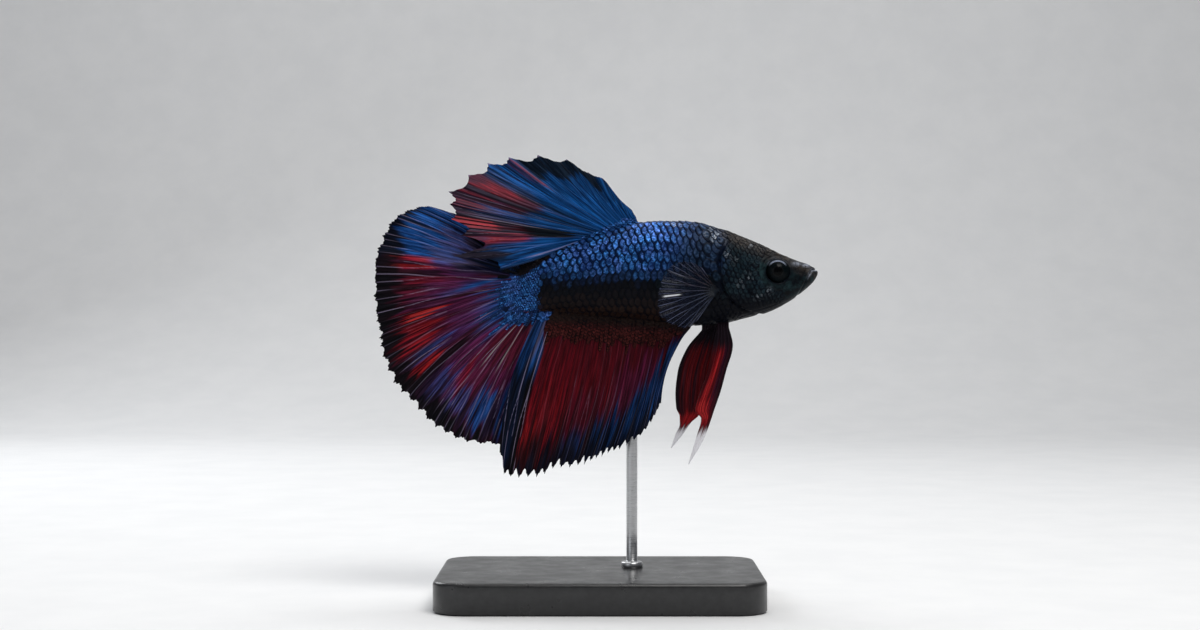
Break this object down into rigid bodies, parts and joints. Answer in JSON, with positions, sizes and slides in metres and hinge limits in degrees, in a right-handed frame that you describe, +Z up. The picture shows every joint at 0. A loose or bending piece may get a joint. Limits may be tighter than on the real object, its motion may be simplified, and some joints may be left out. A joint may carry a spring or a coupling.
{
  "type": "betta fish model",
  "caption": "Life-size still model of a male betta fish with long flowing fins, held level above a plain flat base by one thin rod.",
  "frame": {"origin": "centre of the underside of the stand's base", "axes": "+X towards the snout, +Z up, the fish's right flank faces -Y; the mid-plane of the fish is Y = 0"},
  "size_m": [0.0721, 0.036, 0.0721],
  "materials": {
    "scales": "royal-blue iridescent scales with dark outlines, navy-black towards the belly",
    "head_skin": "near-black skin with a teal sheen on the cheeks and brown on the forehead",
    "eye": "dark glossy eye with a faint blue-grey iris",
    "dorsal_fin": "blue rays with red streaks towards the hind edge",
    "tail_fin": "blue above, maroon and purple in the middle with red patches, dark margin",
    "anal_fin": "crimson, blue towards the front and the lower edge",
    "pectoral_fin": "thin dark membrane with pale rays",
    "pelvic_fin": "dark red, bright red streak, white tips",
    "stand_base": "satin black",
    "stand_rod": "fine brushed"
  },
  "bodies": {
    "root": {"head": "head_skin", "lower_jaw": "head_skin", "gill_cover_right": "head_skin", "gill_cover_left": "head_skin", "eye_right": "eye", "eye_left": "eye", "trunk": "scales", "tail_base": "scales", "dorsal_fin": "dorsal_fin", "caudal_fin": "tail_fin", "anal_fin": "anal_fin", "pectoral_fin_right": "pectoral_fin", "pectoral_fin_left": "pectoral_fin", "pelvic_fin_right": "pelvic_fin", "pelvic_fin_left": "pelvic_fin", "stand_base": "stand_base", "stand_rod": "stand_rod"}
  },
  "joints": []
}
